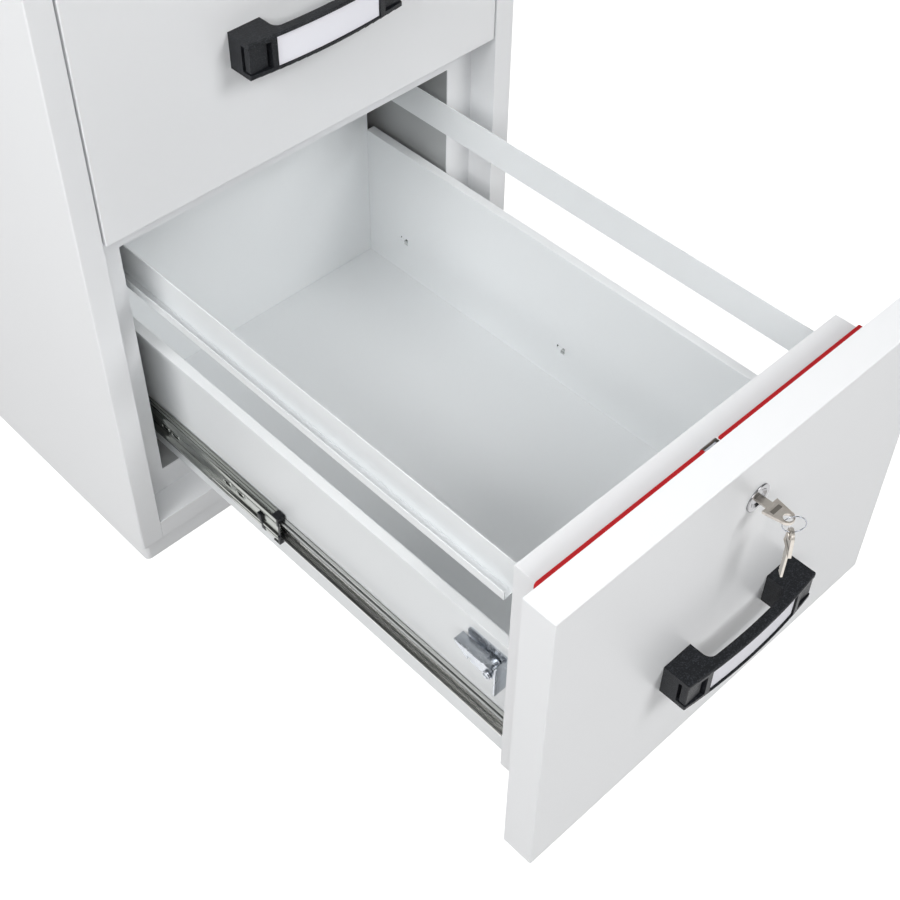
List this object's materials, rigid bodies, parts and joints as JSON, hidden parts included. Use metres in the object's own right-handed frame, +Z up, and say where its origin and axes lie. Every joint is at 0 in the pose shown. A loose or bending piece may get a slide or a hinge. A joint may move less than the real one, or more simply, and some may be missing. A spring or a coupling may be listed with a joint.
{
  "type": "fireproof filing cabinet",
  "caption": "Insulated steel filing cabinet with full-width drawers on ball slides, keyed locks, heat seals and bow handles.",
  "frame": {"origin": "middle of the flat base that the cabinet stands on", "axes": "+Z up, the drawers open towards -Y, +X to the right of someone facing the front"},
  "size_m": [0.54, 1.3529, 0.8255],
  "materials": {
    "body_paint": "satin",
    "tray_paint": "satin",
    "plinth_paint": "satin",
    "zinc": "satin",
    "slide_zinc": "gloss",
    "ball_steel": "polished",
    "chrome": "polished",
    "key_nickel": "gloss",
    "black_plastic": "satin",
    "bumper_plastic": "satin",
    "label_card": "matte",
    "heat_seal": "matte",
    "fire_filling": "matte"
  },
  "bodies": {
    "cabinet": {"outer_shell": "body_paint", "front_frame": "body_paint", "bottom_plate": "body_paint", "rear_panel": "body_paint", "plinth": "plinth_paint", "wall_insulation": "fire_filling", "lower_liner": "body_paint", "upper_liner": "body_paint", "bolt_keepers": "zinc", "latch_strikes": "zinc", "runner_brackets": "body_paint", "runner_screws": "zinc", "cabinet_slides": "slide_zinc"},
    "lower_drawer": {"lower_face_shell": "body_paint", "lower_plug_shell": "body_paint", "lower_insulation": "fire_filling", "lower_heat_seal": "heat_seal", "lower_tray": "tray_paint", "lower_tray_back": "tray_paint", "lower_file_rails": "tray_paint", "lower_handle": "black_plastic", "lower_handle_caps": "black_plastic", "lower_label_card": "label_card", "lower_handle_screws": "zinc", "lower_lock_housing": "chrome", "lower_latch_bracket": "zinc", "lower_latch_pivot": "zinc", "lower_drawer_slides": "slide_zinc"},
    "lower_middle_members": {"lower_middle_slides": "slide_zinc", "lower_slide_bumpers": "bumper_plastic"},
    "lower_outer_cage_set": {"lower_outer_cages": "ball_steel"},
    "lower_inner_cage_set": {"lower_inner_cages": "ball_steel"},
    "lower_lock": {"lower_lock_barrel": "chrome", "key": "key_nickel"},
    "lower_bolt": {"lower_lock_bolt": "zinc"},
    "lower_catch": {"lower_latch_hook": "zinc"},
    "upper_drawer": {"upper_face_shell": "body_paint", "upper_plug_shell": "body_paint", "upper_insulation": "fire_filling", "upper_heat_seal": "heat_seal", "upper_tray": "tray_paint", "upper_tray_back": "tray_paint", "upper_file_rails": "tray_paint", "upper_handle": "black_plastic", "upper_handle_caps": "black_plastic", "upper_label_card": "label_card", "upper_handle_screws": "zinc", "upper_lock_housing": "chrome", "upper_latch_bracket": "zinc", "upper_latch_pivot": "zinc", "upper_drawer_slides": "slide_zinc"},
    "upper_middle_members": {"upper_middle_slides": "slide_zinc", "upper_slide_bumpers": "bumper_plastic"},
    "upper_outer_cage_set": {"upper_outer_cages": "ball_steel"},
    "upper_inner_cage_set": {"upper_inner_cages": "ball_steel"},
    "upper_lock": {"upper_lock_barrel": "chrome"},
    "upper_bolt": {"upper_lock_bolt": "zinc"},
    "upper_catch": {"upper_latch_hook": "zinc"},
    "ring": {"key_ring": "key_nickel"},
    "spare": {"spare_key": "key_nickel"}
  },
  "joints": [
    {"name": "lower_drawer_slide", "type": "slide", "parent": "cabinet", "child": "lower_drawer", "axis": [0, -1, 0], "range_m": [-0.545, 0]},
    {"name": "lower_middle_slide", "type": "slide", "parent": "cabinet", "child": "lower_middle_members", "axis": [0, -1, 0], "range_m": [-0.2398, 0]},
    {"name": "lower_outer_cage_slide", "type": "slide", "parent": "cabinet", "child": "lower_outer_cage_set", "axis": [0, -1, 0], "range_m": [-0.1199, 0]},
    {"name": "lower_inner_cage_slide", "type": "slide", "parent": "cabinet", "child": "lower_inner_cage_set", "axis": [0, -1, 0], "range_m": [-0.3924, 0]},
    {"name": "lower_lock_turn", "type": "hinge", "parent": "lower_drawer", "child": "lower_lock", "pos_m": [0, -0.9275, 0.3636], "axis": [0, 1, 0], "range_deg": [0, 90]},
    {"name": "lower_bolt_rise", "type": "slide", "parent": "lower_drawer", "child": "lower_bolt", "axis": [0, 0, 1], "range_m": [0, 0.014]},
    {"name": "lower_catch_hinge", "type": "hinge", "parent": "lower_drawer", "child": "lower_catch", "pos_m": [-0.2, -0.832, 0.217], "axis": [1, 0, 0], "range_deg": [-7, 20], "stiffness_Nm_per_rad": 0.05},
    {"name": "upper_drawer_slide", "type": "slide", "parent": "cabinet", "child": "upper_drawer", "axis": [0, -1, 0], "range_m": [0, 0.545]},
    {"name": "upper_middle_slide", "type": "slide", "parent": "cabinet", "child": "upper_middle_members", "axis": [0, -1, 0], "range_m": [0, 0.2398]},
    {"name": "upper_outer_cage_slide", "type": "slide", "parent": "cabinet", "child": "upper_outer_cage_set", "axis": [0, -1, 0], "range_m": [0, 0.1199]},
    {"name": "upper_inner_cage_slide", "type": "slide", "parent": "cabinet", "child": "upper_inner_cage_set", "axis": [0, -1, 0], "range_m": [0, 0.3924]},
    {"name": "upper_lock_turn", "type": "hinge", "parent": "upper_drawer", "child": "upper_lock", "pos_m": [0, -0.3825, 0.7346], "axis": [0, 1, 0], "range_deg": [0, 90]},
    {"name": "upper_bolt_rise", "type": "slide", "parent": "upper_drawer", "child": "upper_bolt", "axis": [0, 0, 1], "range_m": [0, 0.014]},
    {"name": "upper_catch_hinge", "type": "hinge", "parent": "upper_drawer", "child": "upper_catch", "pos_m": [-0.2, -0.287, 0.588], "axis": [1, 0, 0], "range_deg": [-7, 20], "stiffness_Nm_per_rad": 0.05},
    {"name": "key_ring_swing", "type": "hinge", "parent": "lower_lock", "child": "ring", "pos_m": [0.00473, -0.96226, 0.36595], "axis": [0.7278, -0.6858, 0], "range_deg": [-20, 20]},
    {"name": "spare_key_swing", "type": "hinge", "parent": "ring", "child": "spare", "pos_m": [0.00473, -0.96226, 0.34645], "axis": [0.7278, -0.6858, 0], "range_deg": [-20, 20]}
  ],
  "couplings": [
    {"joint": "lower_middle_slide", "follows": "lower_drawer_slide", "ratio": 0.44},
    {"joint": "lower_outer_cage_slide", "follows": "lower_drawer_slide", "ratio": 0.22},
    {"joint": "lower_inner_cage_slide", "follows": "lower_drawer_slide", "ratio": 0.72},
    {"joint": "lower_lock_turn", "follows": "lower_bolt_rise", "rad_per_m": 112.2},
    {"joint": "upper_middle_slide", "follows": "upper_drawer_slide", "ratio": 0.44},
    {"joint": "upper_outer_cage_slide", "follows": "upper_drawer_slide", "ratio": 0.22},
    {"joint": "upper_inner_cage_slide", "follows": "upper_drawer_slide", "ratio": 0.72},
    {"joint": "upper_lock_turn", "follows": "upper_bolt_rise", "rad_per_m": 112.2}
  ]
}
